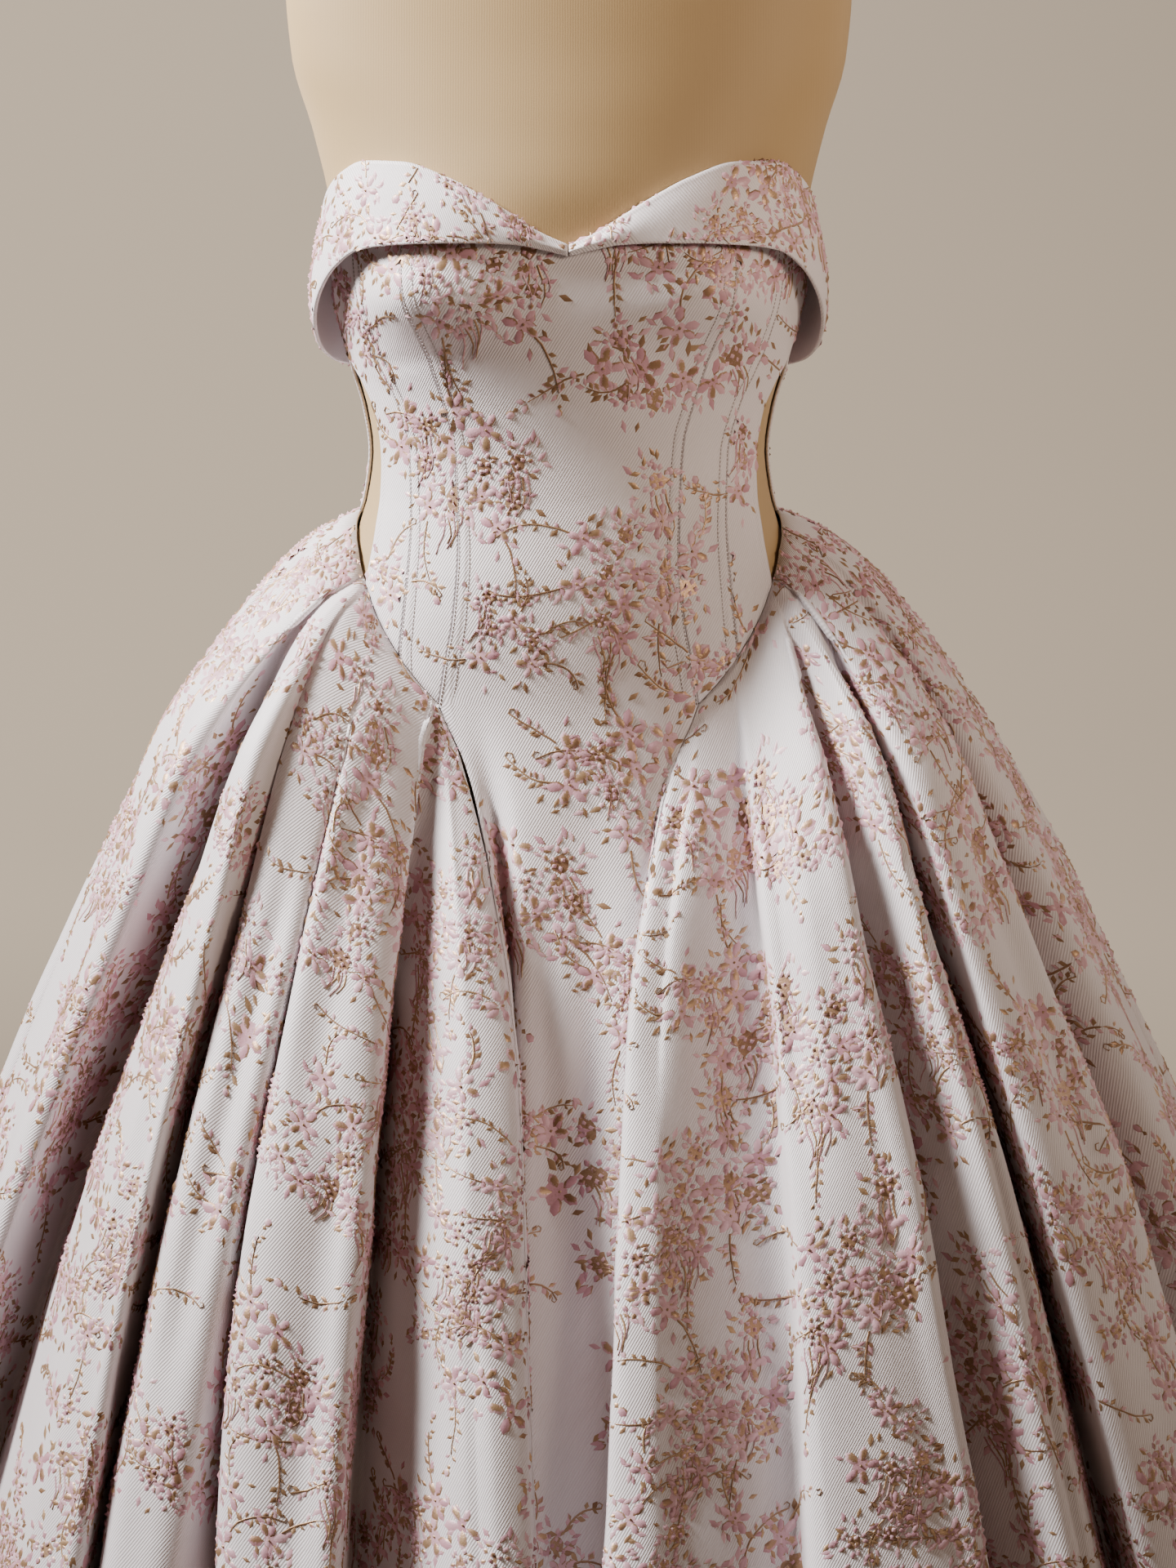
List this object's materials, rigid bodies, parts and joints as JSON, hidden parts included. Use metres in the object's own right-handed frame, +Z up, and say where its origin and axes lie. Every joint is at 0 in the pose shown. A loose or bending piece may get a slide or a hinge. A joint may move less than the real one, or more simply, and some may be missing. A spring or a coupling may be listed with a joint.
{
  "type": "ball gown on a dress form",
  "caption": "Strapless floral brocade ball gown with a sweetheart cuff, cut-out sides and a deeply folded floor-length skirt, worn on a limbless dress form with a pole stand.",
  "frame": {"origin": "centre of the stand's foot on the floor, under the pole", "axes": "+Z up the pole, -Y towards the gown's front, +X to the wearer's left"},
  "size_m": [1.2049, 1.2253, 1.5323],
  "materials": {
    "brocade": "matt interlined brocade with raised flowers",
    "zip_tape": "plain woven tape",
    "jersey": "smooth stretched jersey over the padded form",
    "cap_wood": "varnished",
    "pole_steel": "brushed",
    "foot_iron": "black enamel"
  },
  "bodies": {
    "root": {"centre_front": "brocade", "side_front_left": "brocade", "side_front_right": "brocade", "side_left": "brocade", "side_right": "brocade", "bodice_back_left": "brocade", "bodice_back_right": "brocade", "cuff_left": "brocade", "cuff_right": "brocade", "skirt_side_left": "brocade", "skirt_side_right": "brocade", "skirt_back_left": "brocade", "skirt_back_right": "brocade", "back_zip": "zip_tape", "form_torso": "jersey", "neck_cap": "cap_wood", "stand_pole": "pole_steel", "stand_foot": "foot_iron"}
  },
  "joints": []
}
